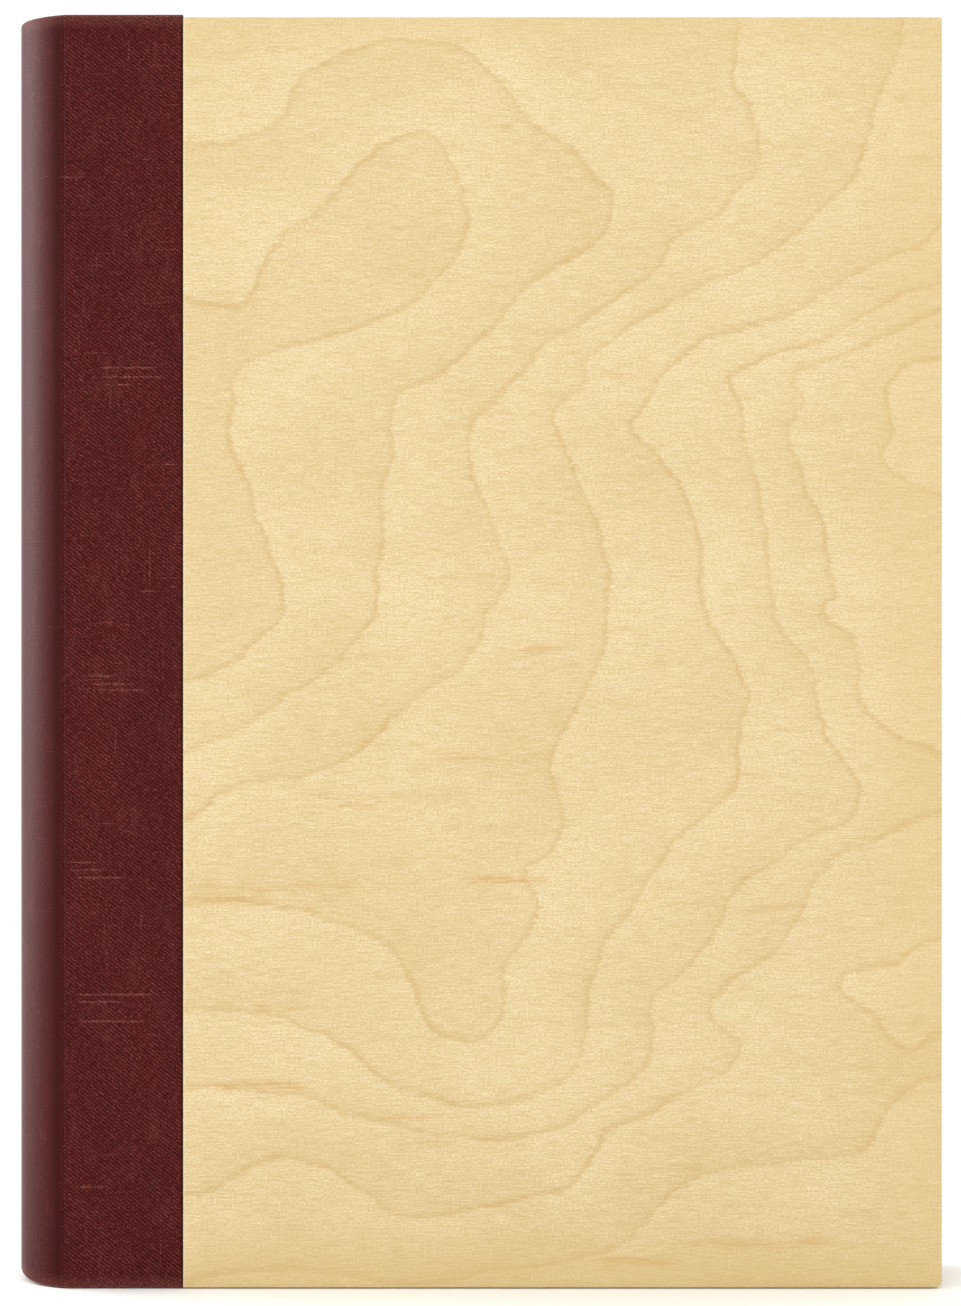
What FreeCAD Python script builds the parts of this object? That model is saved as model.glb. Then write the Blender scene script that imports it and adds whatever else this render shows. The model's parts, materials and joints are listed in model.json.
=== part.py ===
"""A quarter-bound prayer book standing closed on its tail edge.

The boards are three-ply birch, the rounded spine is book cloth, and the block is ten sewn sections of
A5 leaves. The front cover faces -Y, the spine is at -X and the book stands on z = 0, centred on x and y.
Lengths are millimetres. Everything on a cover is written for the front one and takes `side`, which is
-1 at the front and +1 at the back.
"""
import FreeCAD, Part
import math
import os

from FreeCAD import Vector

# The closed book
BOOK_W = 158.0          # back of the spine to the fore edge
BOOK_T = 26.0           # outer face of one board to the outer face of the other
BOARD_H = 216.0         # a board, head to tail
CLOTH_HEAD = 0.5        # the cloth folded over the head edge
CLOTH_TAIL = 0.2        # the cloth folded under the tail edge, pressed thin by standing
FORE_CORNER_HEAD = 0.4  # worn radius of a board's upper fore corner
FORE_CORNER_TAIL = 1.2  # and of its lower one

# Layers of a cover
VENEER_T = 0.5
CORE_T = 2.2
PAPER_T = 0.15
CLOTH_T = 0.4
CLOTH_SINK = 0.1        # the cloth lies this far below the veneer beside it
CLOTH_ON_BOARD = 20.0   # from the joint to the cloth's cut edge
VENEER_GAP = 0.1        # between that edge and the veneer
TURN_IN = 15.0          # cloth folded onto the inside at head and tail

# The rounded spine, which is shells about one upright axis
SPINE_ROUND = 8.9       # how far it stands behind the joint
STIFFENER_T = 0.6
FLAP_T = 0.35
STIFFENER_SPAN = 100.0  # degrees of the spine's round that the stiffener covers
HOLLOW = 0.1            # between the case and the lining of the block
LINING_T = 0.3
TAPE_T = 0.3
TAPE_W = 12.0
TAPE_HEIGHTS = (50.0, 108.2, 166.4)
JOINT_GAP = 0.3         # between the spine's cloth and a cover's

# The block of leaves
LEAF_W = 148.0
LEAF_H = 210.0
SECTION_T = 1.8
SECTIONS_PER_SIDE = 5
SECTION_GAP = 0.1       # between the turning parts of two sections
FOLD_DEPTH = 1.0        # from the joint to the line that the leaves turn on
FOLD_GAP = 0.2          # from that line to the sewn folds, which stay with the spine
PINCH_START = 0.4       # where a section's turning part begins, nearly pressed to nothing
PINCH_T = 0.1
PINCH_L = 5.0           # it reaches its full thickness over this length
SHEET_GAP = 0.25        # on either side of a flyleaf
HEADBAND_R = 0.7
HEADBAND_SPAN = 80.0    # degrees of the spine's round

# Places worked out from those
CLOTH_H = BOARD_H + CLOTH_HEAD + CLOTH_TAIL
X_SPINE = -BOOK_W / 2
X_FORE = BOOK_W / 2
X_JOINT = X_SPINE + SPINE_ROUND
X_FOLD = X_JOINT + FOLD_DEPTH
X_CLOTH = X_JOINT + CLOTH_ON_BOARD
Z_TAIL = CLOTH_TAIL
Z_HEAD = Z_TAIL + BOARD_H
Z_LEAF = Z_TAIL + (BOARD_H - LEAF_H) / 2
Y_FACE = BOOK_T / 2
Y_CLOTH = Y_FACE - CLOTH_SINK
Y_CORE = Y_FACE - VENEER_T
Y_LINER = Y_CORE - CORE_T
Y_INSIDE = Y_LINER - VENEER_T
BLOCK_HALF = SECTION_T * SECTIONS_PER_SIDE
Y_FLYLEAF = BLOCK_HALF + SHEET_GAP
R_CLOTH = (Y_CLOTH ** 2 + SPINE_ROUND ** 2) / (2 * SPINE_ROUND)
R_STIFFENER = R_CLOTH - CLOTH_T
R_FLAP = R_STIFFENER - STIFFENER_T
R_LINING = R_FLAP - FLAP_T - HOLLOW
R_TAPE = R_LINING - LINING_T
R_FOLDS = R_TAPE - TAPE_T
SPINE_AXIS = Vector(X_SPINE + R_CLOTH, 0, 0)
BLOCK_HALF_ANGLE = math.degrees(math.asin(BLOCK_HALF / R_FOLDS))


def box(x0, x1, y0, y1, z0, z1):
    """A box between two corners, given in any order."""
    xs, ys, zs = sorted((x0, x1)), sorted((y0, y1)), sorted((z0, z1))
    return Part.makeBox(xs[1] - xs[0], ys[1] - ys[0], zs[1] - zs[0], Vector(xs[0], ys[0], zs[0]))


def prism(edges, along):
    """A closed run of edges, filled and carried along a vector."""
    face = Part.Face(Part.Wire(Part.__sortEdges__(edges)))
    return face.extrude(along)


def line(a, b):
    return Part.LineSegment(a, b).toShape()


def arc(a, middle, b):
    return Part.Arc(a, middle, b).toShape()


def ply(x0, y0, y1):
    """One board-high layer from x0 to the fore edge, with the board's worn fore corners."""
    y = min(y0, y1)
    head, tail = FORE_CORNER_HEAD, FORE_CORNER_TAIL
    near = 1 - math.sqrt(0.5)
    corners = [
        Vector(x0, y, Z_TAIL),
        Vector(X_FORE - tail, y, Z_TAIL),
        Vector(X_FORE, y, Z_TAIL + tail),
        Vector(X_FORE, y, Z_HEAD - head),
        Vector(X_FORE - head, y, Z_HEAD),
        Vector(x0, y, Z_HEAD),
    ]
    tail_middle = Vector(X_FORE - tail * near, y, Z_TAIL + tail * near)
    head_middle = Vector(X_FORE - head * near, y, Z_HEAD - head * near)
    edges = [
        line(corners[0], corners[1]),
        arc(corners[1], tail_middle, corners[2]),
        line(corners[2], corners[3]),
        arc(corners[3], head_middle, corners[4]),
        line(corners[4], corners[5]),
        line(corners[5], corners[0]),
    ]
    return prism(edges, Vector(0, abs(y1 - y0), 0))


def revolved(profile, half_angle):
    """Points (radius, height) joined up and turned about the spine's axis, centred on -X."""
    first = math.radians(180 - half_angle)
    out = Vector(math.cos(first), math.sin(first), 0)
    points = [SPINE_AXIS + out * radius + Vector(0, 0, z) for radius, z in profile]
    face = Part.Face(Part.makePolygon(points + points[:1]))
    return face.revolve(SPINE_AXIS, Vector(0, 0, 1), 2 * half_angle)


def shell(r_in, r_out, z0, z1, half_angle):
    """A curved plate about the spine's axis."""
    return revolved([(r_in, z0), (r_out, z0), (r_out, z1), (r_in, z1)], half_angle)


def round_x(radius, y):
    """Where a shell of this radius is, at this y."""
    return SPINE_AXIS.x - math.sqrt(radius ** 2 - y ** 2)


def spine_cloth():
    """Book cloth over the round of the spine, folded over the stiffener and cut off at the joints."""
    inner = R_FLAP - FLAP_T
    profile = [
        (R_CLOTH, 0),
        (R_CLOTH, CLOTH_H),
        (inner, CLOTH_H),
        (inner, Z_HEAD - TURN_IN),
        (R_FLAP, Z_HEAD - TURN_IN),
        (R_FLAP, Z_HEAD),
        (R_STIFFENER, Z_HEAD),
        (R_STIFFENER, Z_TAIL),
        (R_FLAP, Z_TAIL),
        (R_FLAP, Z_TAIL + TURN_IN),
        (inner, Z_TAIL + TURN_IN),
        (inner, 0),
    ]
    behind_joint = box(X_SPINE - 1, X_JOINT - JOINT_GAP / 2, -BOOK_T, BOOK_T, -1, CLOTH_H + 1)
    return revolved(profile, 90).common(behind_joint)


def headband(z):
    """A silk-covered cord across the spine end of the block."""
    radius = R_FOLDS - HEADBAND_R
    base = Vector(SPINE_AXIS.x, 0, z)
    ring = Part.makeTorus(radius, HEADBAND_R, base, Vector(0, 0, 1), -180, 180, HEADBAND_SPAN)
    ring.rotate(base, Vector(0, 0, 1), 180 - HEADBAND_SPAN / 2)
    return ring


def section_span(side, number):
    """The y of a section's outer and inner faces. Number 1 is next to the cover."""
    outer = side * (BLOCK_HALF - (number - 1) * SECTION_T)
    return outer, outer - side * SECTION_T


def section_fold(side, number):
    """The sewn spine of a section, which keeps to the round."""
    outer, inner = section_span(side, number)
    middle = (outer + inner) / 2
    stop = X_FOLD - FOLD_GAP
    corners = [
        Vector(stop, outer, Z_LEAF),
        Vector(round_x(R_FOLDS, outer), outer, Z_LEAF),
        Vector(round_x(R_FOLDS, inner), inner, Z_LEAF),
        Vector(stop, inner, Z_LEAF),
    ]
    edges = [
        line(corners[0], corners[1]),
        arc(corners[1], Vector(round_x(R_FOLDS, middle), middle, Z_LEAF), corners[2]),
        line(corners[2], corners[3]),
        line(corners[3], corners[0]),
    ]
    return prism(edges, Vector(0, 0, LEAF_H))


def section_leaves(side, number):
    """The part of a section that turns, pinched near the fold and hollow-cut at the fore edge."""
    outer, inner = section_span(side, number)
    middle = (outer + inner) / 2
    outer -= side * SECTION_GAP / 2
    inner += side * SECTION_GAP / 2
    pinch = side * PINCH_T / 2
    tip = X_FOLD + PINCH_START
    full = tip + PINCH_L
    corners = [
        Vector(tip, middle + pinch, Z_LEAF),
        Vector(full, outer, Z_LEAF),
        Vector(round_x(R_FOLDS, outer) + LEAF_W, outer, Z_LEAF),
        Vector(round_x(R_FOLDS, inner) + LEAF_W, inner, Z_LEAF),
        Vector(full, inner, Z_LEAF),
        Vector(tip, middle - pinch, Z_LEAF),
    ]
    fore_middle = Vector(round_x(R_FOLDS, middle) + LEAF_W, middle, Z_LEAF)
    edges = [
        line(corners[0], corners[1]),
        line(corners[1], corners[2]),
        arc(corners[2], fore_middle, corners[3]),
        line(corners[3], corners[4]),
        line(corners[4], corners[5]),
        line(corners[5], corners[0]),
    ]
    return prism(edges, Vector(0, 0, LEAF_H))


def turn_in(side, z0, z1, depth):
    """The space of a flap of cloth on a board's inside, this deep."""
    return box(X_JOINT + JOINT_GAP / 2, X_CLOTH, side * Y_INSIDE, side * (Y_INSIDE + depth), z0, z1)


def cover_cloth(side):
    """The cloth on a board, wrapped round its head and tail onto the inside."""
    x0 = X_JOINT + JOINT_GAP / 2
    wrap = box(x0, X_CLOTH, side * Y_INSIDE, side * Y_CLOTH, 0, CLOTH_H)
    board = box(x0, X_CLOTH, side * Y_INSIDE, side * (Y_CLOTH - CLOTH_T), Z_TAIL, Z_HEAD)
    head = turn_in(side, Z_HEAD - TURN_IN, Z_HEAD, CLOTH_T)
    tail = turn_in(side, Z_TAIL, Z_TAIL + TURN_IN, CLOTH_T)
    return wrap.cut(board).multiFuse([head, tail]).removeSplitter()


def cover_nodes(side, name):
    """The layers of one cover, outside to inside."""
    x_board = X_JOINT + JOINT_GAP / 2
    x_leaf = round_x(R_FOLDS, BLOCK_HALF) + LEAF_W
    liner = ply(x_board, side * Y_LINER, side * Y_INSIDE)
    for z0, z1 in ((Z_HEAD - TURN_IN, Z_HEAD), (Z_TAIL, Z_TAIL + TURN_IN)):
        liner = liner.cut(turn_in(side, z0, z1, VENEER_T))
    pasted = (side * Y_INSIDE, side * (Y_INSIDE - PAPER_T))
    fly = (side * Y_FLYLEAF, side * (Y_FLYLEAF + PAPER_T))
    return {
        name + "_face_veneer": ply(X_CLOTH + VENEER_GAP, side * Y_FACE, side * Y_CORE),
        name + "_core_ply": ply(x_board, side * Y_CORE, side * Y_LINER),
        name + "_inner_veneer": liner,
        name + "_cloth": cover_cloth(side),
        name + "_pastedown": box(X_FOLD, x_leaf, *pasted, Z_LEAF, Z_LEAF + LEAF_H),
        name + "_flyleaf": box(X_FOLD + PINCH_START, x_leaf, *fly, Z_LEAF, Z_LEAF + LEAF_H),
    }


def spine_nodes():
    """The rounded case of the spine and what is glued to the backs of the sections."""
    nodes = {
        "spine_cloth": spine_cloth(),
        "spine_stiffener": shell(R_FLAP, R_STIFFENER, Z_TAIL, Z_HEAD, STIFFENER_SPAN / 2),
        "spine_lining": shell(R_TAPE, R_LINING, Z_LEAF + 2, Z_LEAF + LEAF_H - 2, BLOCK_HALF_ANGLE),
        "headband_head": headband(Z_LEAF + LEAF_H + HEADBAND_R),
        "headband_tail": headband(Z_LEAF - HEADBAND_R),
    }
    for number, z in enumerate(TAPE_HEIGHTS, 1):
        tape = shell(R_FOLDS, R_TAPE, z - TAPE_W / 2, z + TAPE_W / 2, BLOCK_HALF_ANGLE)
        nodes["sewing_tape_%d" % number] = tape
    return nodes


def book_nodes():
    """Every piece of the book, by the name of its node."""
    nodes = spine_nodes()
    for side, name in ((-1, "front"), (1, "back")):
        nodes.update(cover_nodes(side, name))
        for number in range(1, SECTIONS_PER_SIDE + 1):
            nodes["%s_section_%d_fold" % (name, number)] = section_fold(side, number)
            nodes["%s_section_%d_leaves" % (name, number)] = section_leaves(side, number)
    return nodes


os.makedirs("parts", exist_ok=True)
for node, shape in book_nodes().items():
    if not shape.isValid() or len(shape.Solids) != 1:
        raise ValueError("%s is not one valid solid" % node)
    shape.Solids[0].exportStep("parts/%s.step" % node)
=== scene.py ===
import itertools
import json
import math

import bmesh
import bpy
import numpy as np
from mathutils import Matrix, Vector

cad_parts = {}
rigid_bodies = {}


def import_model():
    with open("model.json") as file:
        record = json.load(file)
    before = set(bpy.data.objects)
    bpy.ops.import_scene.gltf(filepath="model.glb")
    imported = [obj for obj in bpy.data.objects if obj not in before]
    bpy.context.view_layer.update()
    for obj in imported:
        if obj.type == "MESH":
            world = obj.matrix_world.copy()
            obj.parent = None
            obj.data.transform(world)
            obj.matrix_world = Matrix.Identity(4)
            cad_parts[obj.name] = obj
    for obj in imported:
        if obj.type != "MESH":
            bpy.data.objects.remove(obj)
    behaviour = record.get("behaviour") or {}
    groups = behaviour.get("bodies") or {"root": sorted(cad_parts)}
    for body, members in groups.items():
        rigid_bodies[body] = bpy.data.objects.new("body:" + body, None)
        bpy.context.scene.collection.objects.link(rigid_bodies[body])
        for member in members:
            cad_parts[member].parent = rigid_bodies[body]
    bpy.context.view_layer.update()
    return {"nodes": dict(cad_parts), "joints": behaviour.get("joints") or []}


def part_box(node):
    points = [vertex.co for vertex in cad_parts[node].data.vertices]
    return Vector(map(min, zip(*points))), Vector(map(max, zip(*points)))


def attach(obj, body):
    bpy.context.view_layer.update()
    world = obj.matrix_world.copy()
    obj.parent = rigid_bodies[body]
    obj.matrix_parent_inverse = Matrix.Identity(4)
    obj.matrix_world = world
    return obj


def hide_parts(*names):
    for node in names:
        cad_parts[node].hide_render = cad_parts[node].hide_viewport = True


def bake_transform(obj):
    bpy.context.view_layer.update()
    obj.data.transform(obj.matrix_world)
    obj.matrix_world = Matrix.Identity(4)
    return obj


bl_info = {
    "name": "Quarter-bound prayer book",
    "version": (1, 0, 0),
    "blender": (4, 5, 0),
    "location": "View3D > Sidebar > Prayer book",
    "description": "Birch boards, cloth spine, endpapers, sewn sections and headbands round a packed frame",
    "category": "Object",
}

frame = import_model()

MM = 0.001
SIDES = (("front", -1), ("back", 1))
SECTIONS = 5
JOINTS = {joint["name"]: joint for joint in frame["joints"]}
FACE_LOW, FACE_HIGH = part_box("front_face_veneer")
CLOTH_LOW, CLOTH_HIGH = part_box("front_cloth")
SPINE_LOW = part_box("spine_cloth")[0]
PASTE_LOW, PASTE_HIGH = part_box("front_pastedown")
FLY_LOW, FLY_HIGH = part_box("front_flyleaf")
FOLD_LOW, FOLD_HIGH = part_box("front_section_1_fold")
LEAF_LOW, LEAF_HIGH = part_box("front_section_1_leaves")
MIDDLE_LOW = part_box("front_section_5_fold")[0]
JOINT_X = JOINTS["front_cover_hinge"]["pos_m"][0]
FOLD_X = JOINTS["front_section_1_turn"]["pos_m"][0]
CLOTH_Y = -JOINTS["front_cover_hinge"]["pos_m"][1]
SECTION_T = FOLD_HIGH[1] - FOLD_LOW[1]
MID_Z = (LEAF_LOW[2] + LEAF_HIGH[2]) / 2
PLY_START = JOINT_X + 0.8 * MM                         # the cloth's turn-in covers the plies' ends
FORE_CORNERS = (1.2 * MM, 0.4 * MM)                    # rounding of a board at tail and head
SPINE_FLAP_IN = 1.30 * MM                              # from the cloth's face to its turned-in flap
BOARD_FLAP_IN = CLOTH_Y + CLOTH_HIGH[1] + 0.06 * MM
STIFFENER_IN = 0.45 * MM                               # from the cloth's face to the card
STIFFENER_T = 0.5 * MM
SHARP_ANGLE = math.radians(40)


# Shapes of the spine's round, which is an arc about one upright axis

def arc_radius(half_width, rise):
    """The radius of an arc this high over a chord."""
    return (half_width ** 2 + rise ** 2) / (2 * rise)


SPINE_R = arc_radius(CLOTH_Y, JOINT_X - SPINE_LOW[0])
AXIS_X = SPINE_LOW[0] + SPINE_R
FOLDS_R = AXIS_X - MIDDLE_LOW[0]


# Growth rings of the face veneer. Each line is one ring: its level, then the places it passes, in
# millimetres across and up the cover. Levels rise from the heart of the figure outwards.
RINGS = (
    (0.6, ((-22, 178), (-43, 138), (-43, 120), (-14, 187))),
    (1, ((-46, 168), (-39, 168), (-36.5, 174), (-33, 179), (-27, 184), (-19, 192), (-13, 196),
         (-8, 197), (-5, 192), (-2, 186), (-1.5, 180), (-4, 175), (-10, 168.5), (-18, 164.5),
         (-27, 161), (-36, 159), (-41, 155), (-42, 149), (-41, 141), (-38, 132), (-34, 122),
         (-33, 115), (-38, 109.5), (-46, 104))),
    (2, ((-46, 194.5), (-38, 196.5), (-33, 200), (-29, 206.5), (-22, 210.5), (-10, 212.5),
         (-2, 210.5), (3, 206), (7.5, 200.5), (14, 195), (20, 189.5), (23.3, 185), (22.5, 180.5),
         (15, 175), (9, 171), (4, 165), (-2, 159), (-8, 155), (-13.5, 152), (-14.5, 144),
         (-16, 132), (-16.5, 121), (-19, 112), (-26, 105), (-33, 100), (-45, 93.5))),
    (3, ((44.5, 214), (44, 205), (47, 199), (48.5, 193.5), (45, 187.5), (40, 182.5), (33, 178),
         (29.5, 172.5), (24, 168.5), (17, 164.5), (10, 158.5), (5, 153), (0, 149), (-1.3, 144),
         (0.5, 136), (3, 129), (5, 120), (2, 115), (1, 111), (-5, 104), (-11, 100), (-16, 95.5),
         (-23, 90), (-31, 86.8), (-41, 85), (-46, 82))),
    (4, ((72, 213), (69, 204), (66.5, 197), (65.5, 192), (61, 185.5), (55, 180), (47, 174.5),
         (38, 170), (30, 166.5), (24, 162), (18, 158), (18, 154), (13.5, 149.5), (14.5, 143.5),
         (19, 135), (21.3, 126), (22.2, 114), (18.5, 102), (14, 94), (12.3, 88), (14.8, 80.5),
         (12.5, 73.5), (8, 70.5), (8.5, 68.5), (10, 65.5), (8.5, 60.5), (4.8, 54.5), (4.6, 47.5),
         (1.5, 43), (-3.5, 42), (-8.5, 44.5), (-11, 52), (-17, 59), (-26, 63), (-37, 65.5),
         (-46, 66))),
    (5, ((79, 181), (69, 175), (58, 169), (46, 163.3), (36, 159.3), (33.5, 157), (29.5, 152),
         (26.5, 146), (30, 142), (35, 135.5), (37.8, 128), (38.2, 118), (41, 111), (45.5, 104),
         (45.3, 97), (44, 91), (44, 85.5), (38, 79.5), (31.5, 73.5), (27, 66.5), (21.5, 57.5),
         (18.8, 49.5), (18.3, 43), (17.3, 38), (11, 32.8), (1, 31), (-9, 32.5), (-17, 36),
         (-20.5, 39.8), (-27, 44), (-36, 46.8), (-46, 47))),
    (6, ((79, 170.5), (72, 168), (62, 163), (55, 159.8), (47, 157.2), (43.2, 155), (45.4, 149),
         (46.3, 141), (49, 130), (50, 119), (50.5, 113.5), (55.5, 108), (57.5, 101), (60.5, 92),
         (65.5, 84.7), (62, 79), (53, 74.3), (45, 69), (41, 61.5), (35.5, 54), (30, 48.5),
         (29.8, 44), (28.5, 38.5), (22, 32.5), (15, 28), (7, 25.7), (-4, 26.3), (-14, 28.2),
         (-24, 30.8), (-35, 33.7), (-46, 34.5))),
    (7, ((79, 166.5), (70, 162.2), (62, 158.6), (54.5, 156), (55.4, 151.5), (53.2, 145), (56.5, 136),
         (59.5, 126), (61, 117.5), (58.5, 115), (64, 110), (64.8, 102), (68, 96), (79, 91))),
    (7, ((79, 81), (70, 77.5), (62, 74), (56.5, 67.5), (52.5, 59.5), (44, 52.7), (40, 48),
         (44.5, 42), (40.5, 36), (31, 31), (22, 26.5), (18.5, 20.5), (12, 16.3), (2, 14),
         (-5, 12), (-14, 13), (-20, 16.3), (-25, 20.5), (-34, 22.5), (-40, 20), (-46, 16.5))),
    (8, ((79, 158.5), (72.5, 157), (70, 151), (70.3, 145.5), (69.2, 140.5), (73, 137), (79, 134.5))),
    (8, ((79, 59.5), (71, 55.8), (61.5, 51.5), (67, 47), (79, 44))),
    (8, ((79, 36.5), (72, 33.3), (68.5, 29.5), (67.5, 25.5), (58, 21.8), (47, 21), (36, 18), (26, 9),
         (14, 4), (0, 2.5), (-20, 2), (-46, 1.5))),
    (8.6, ((79, 52), (72, 50.5))),
)

# Stray dark streaks along the fibres: left end, right end, height and strength
STREAKS = ((-50, -36, 66.1, 0.9), (-50, -20, 68.3, 0.5), (-46, -28, 34.3, 0.9), (-2, 12, 69.4, 1.0),
           (-25, -15, 82.6, 0.6), (-11, -7.5, 88.4, 0.6), (-16, -6, 28.9, 0.5), (-14, -4, 24.6, 0.6),
           (19, 34, 4.7, 0.9), (34, 62, 7.7, 0.7), (30, 35, 68.8, 0.6), (44, 56, 64.7, 0.5),
           (45, 49, 86.9, 0.8), (-8, 13, 90.2, 0.5), (-29, -1, 84.1, 0.4), (6, 15, 108.6, 0.8),
           (20, 26, 155.4, 0.6), (-39, -27, 47.6, 0.5))

# Raised threads across the cloth: left end, right end and height, in millimetres from the spine's back
# edge and from the tail
SLUBS = ((14.2, 26.0, 156.6), (14.6, 27.0, 155.0), (15.0, 22.5, 153.7), (12.8, 21.5, 102.8),
         (13.5, 24.0, 101.8), (12.0, 19.5, 104.2), (9.2, 17.4, 71.2), (10.0, 20.5, 69.9),
         (9.0, 15.5, 72.5), (9.8, 26.0, 50.0), (10.5, 20.0, 48.8), (11.0, 24.0, 45.5),
         (9.8, 17.4, 17.3), (6.5, 13.0, 189.0))


# The user's sizes and colours

def colour(text):
    """A hexadecimal screen colour as linear red, green and blue."""
    parts = [int(text[i:i + 2], 16) / 255 for i in (0, 2, 4)]
    return tuple(c / 12.92 if c <= 0.04045 else ((c + 0.055) / 1.055) ** 2.4 for c in parts)


def length_property(name, description, default):
    return bpy.props.FloatProperty(
        name=name, description=description, default=default * MM, min=0.0, subtype="DISTANCE",
        unit="LENGTH", precision=5)


def colour_property(name, description, default):
    return bpy.props.FloatVectorProperty(
        name=name, description=description, default=colour(default), size=3, min=0.0, max=1.0,
        subtype="COLOR")


class BookSizes(bpy.types.PropertyGroup):
    """Sizes that the frame leaves open."""

    ring_cell: length_property("Ring grid", "Spacing of the grid that carries the growth rings", 1.5)
    edge_round: length_property("Edge rounding", "Rounding of a board's sanded edges", 0.18)
    cloth_t: length_property("Cloth thickness", "Thickness of the book cloth", 0.34)
    joint_round: length_property("Joint rounding", "Radius where the flat cloth turns into the spine", 2.6)
    fold_round: length_property("Fold rounding", "Radius of the cloth folded over head and tail", 0.5)
    tail_wear: length_property("Tail wear", "How far the middle of the spine's tail is worn up", 1.5)
    turn_in: length_property("Turn-in", "Cloth folded over head and tail", 15.0)
    weave_pitch: length_property("Weave pitch", "Spacing of the cloth's diagonal ribs", 0.56)
    leaf_gap: length_property("Leaf gap", "Air between two leaves", 0.018)
    leaf_trim: length_property("Leaf trim", "Unevenness of the trimmed leaves", 0.05)
    gutter: length_property("Gutter", "Length over which a leaf bends beside its fold", 15.0)
    leaves: bpy.props.IntProperty(
        name="Leaves", description="Leaves in a section", default=16, min=2, max=40)
    headband_turns: bpy.props.IntProperty(
        name="Headband turns", description="Turns of silk on a headband", default=64, min=8, max=200)


class BookColours(bpy.types.PropertyGroup):
    """Colours of the finishes."""

    birch: colour_property("Birch", "Body colour of the veneer", "DAC9A0")
    birch_light: colour_property("Early wood", "Just outside a growth ring", "E3D3AE")
    birch_ring: colour_property("Late wood", "Shade before a growth ring", "BA9B5C")
    birch_line: colour_property("Ring line", "Growth ring line", "B68E48")
    birch_streak: colour_property("Birch streak", "Stray dark streaks", "BE8C44")
    # Besides the core ply's bands of end grain, this paints shade onto the veneer towards the board's edges
    birch_edge: colour_property("Birch edge", "Veneer towards the board's edges", "CBAE72")
    core: colour_property("Core ply", "End grain between the veneers", "C9A56B")
    cloth: colour_property("Cloth", "Body colour of the cloth", "4B0E0D")
    # Cloth dark and cloth light also paint shade between the threads and sheen on their crowns
    cloth_dark: colour_property("Cloth dark", "Between the cloth's threads", "2E0404")
    cloth_light: colour_property("Cloth light", "Crowns of the cloth's threads", "7E4741")
    paper: colour_property("Paper", "Leaves", "EAE2D0")
    paper_edge: colour_property("Paper edge", "Toned edge of the leaves", "D8CAAC")
    endpaper: colour_property("Endpaper", "Endpapers", "DDD5C3")
    silk: colour_property("Silk", "Headband's first colour", "7B1F22")
    silk_pale: colour_property("Pale silk", "Headband's second colour", "E9DCBE")
    floor: colour_property("Floor", "Floor", "FAFAF8")


# Node trees

def sum_step(operation):
    """A method that puts a maths node between a value and another."""
    return lambda value, other: value.nodes.math(operation, value, other)


class Value:
    """What a node gives, which takes part in sums as a number does."""

    def __init__(self, nodes, socket):
        self.nodes, self.socket = nodes, socket

    def __rsub__(self, other):
        return self.nodes.math("SUBTRACT", other, self)

    __add__ = sum_step("ADD")
    __sub__ = sum_step("SUBTRACT")
    __mul__ = sum_step("MULTIPLY")
    __truediv__ = sum_step("DIVIDE")
    __pow__ = sum_step("POWER")


class Nodes:
    """A node tree with short calls for building it."""

    def __init__(self, tree):
        self.tree = tree

    def join(self, socket, value):
        """Links a value, or sets the socket to a number, vector or colour."""
        if isinstance(value, Value):
            self.tree.links.new(value.socket, socket)
        elif hasattr(socket.default_value, "__len__") and len(socket.default_value) == 4:
            socket.default_value = (*value, 1.0)
        else:
            socket.default_value = value

    def make(self, kind, inputs, **settings):
        """A node of this kind with its settings made and its inputs joined."""
        made = self.tree.nodes.new(kind)
        for name, value in settings.items():
            setattr(made, name, value)
        for key, value in inputs.items():
            self.join(made.inputs[key], value)
        return made

    def node(self, kind, inputs, output=0, **settings):
        """One output of such a node."""
        return Value(self, self.make(kind, inputs, **settings).outputs[output])

    def math(self, operation, a, b=0.0):
        return self.node("ShaderNodeMath", {0: a, 1: b}, operation=operation)

    def most(self, a, b):
        """The larger of two numbers."""
        return self.math("MAXIMUM", a, b)

    def vector(self, x, y, z):
        return self.node("ShaderNodeCombineXYZ", {0: x, 1: y, 2: z})

    def parts(self, vector):
        """The three numbers of a vector."""
        return [Value(self, part) for part in self.make("ShaderNodeSeparateXYZ", {0: vector}).outputs]


# Finishes

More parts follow.
